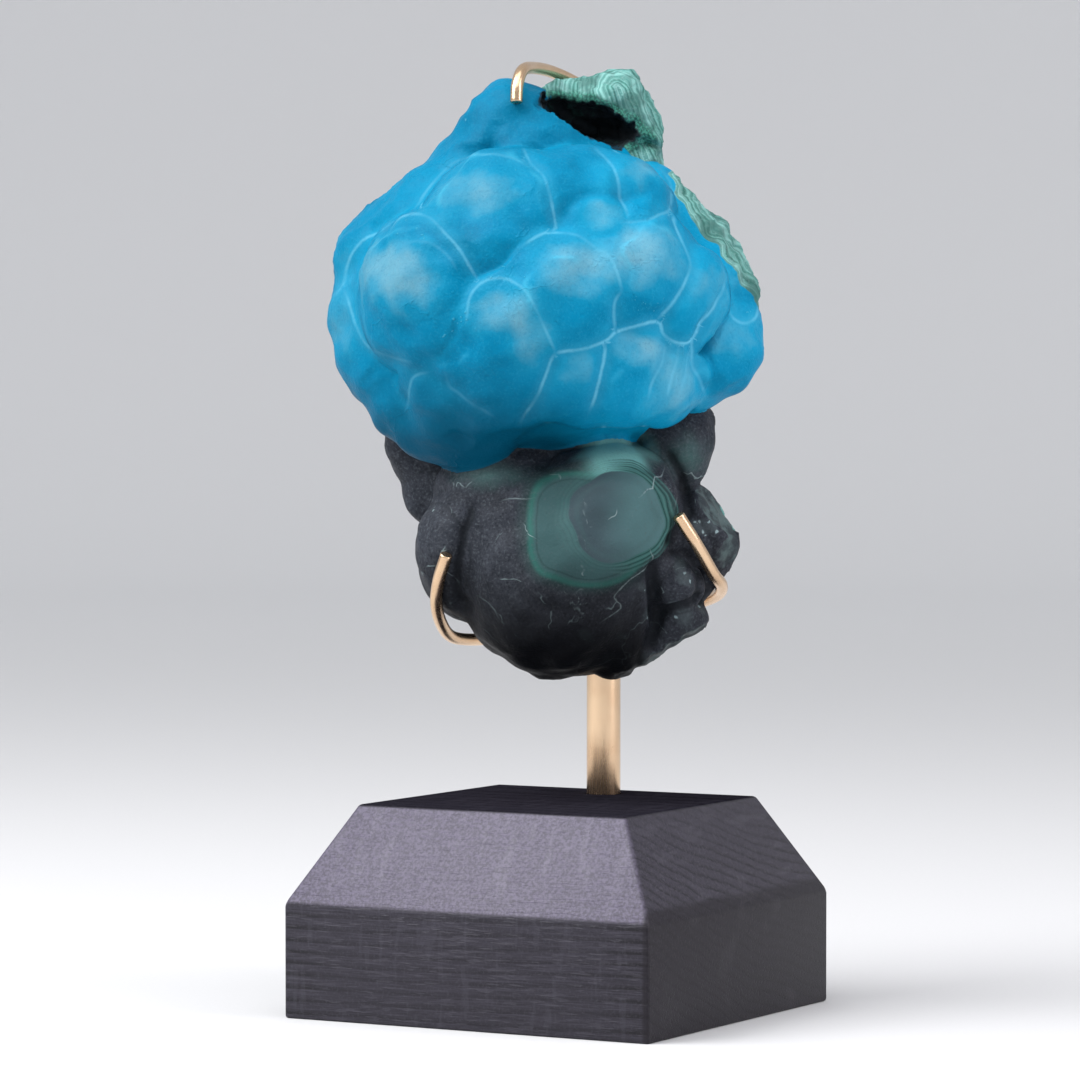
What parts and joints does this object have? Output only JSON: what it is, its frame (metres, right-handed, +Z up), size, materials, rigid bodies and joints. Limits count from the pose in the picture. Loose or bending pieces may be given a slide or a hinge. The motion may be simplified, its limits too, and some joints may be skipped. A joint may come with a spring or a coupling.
{
  "type": "botryoidal malachite specimen on a stand",
  "caption": "Botryoidal malachite specimen with a blue bubbly crust over bare grey-green bubbles, held by bent brass claws on a post in a chamfered wood block.",
  "frame": {"origin": "centre of the wood block's underside", "axes": "+Z up along the post, X along the front edge of the block, -Y towards the viewer of the stone's display side"},
  "size_m": [0.1039, 0.0905, 0.2208],
  "materials": {
    "malachite": "satin",
    "stained_wood": "satin",
    "brass": "satin"
  },
  "bodies": {
    "root": {"malachite_specimen": "malachite", "wood_base": "stained_wood", "brass_post": "brass", "claw_left": "brass", "claw_right": "brass", "claw_top": "brass"}
  },
  "joints": []
}
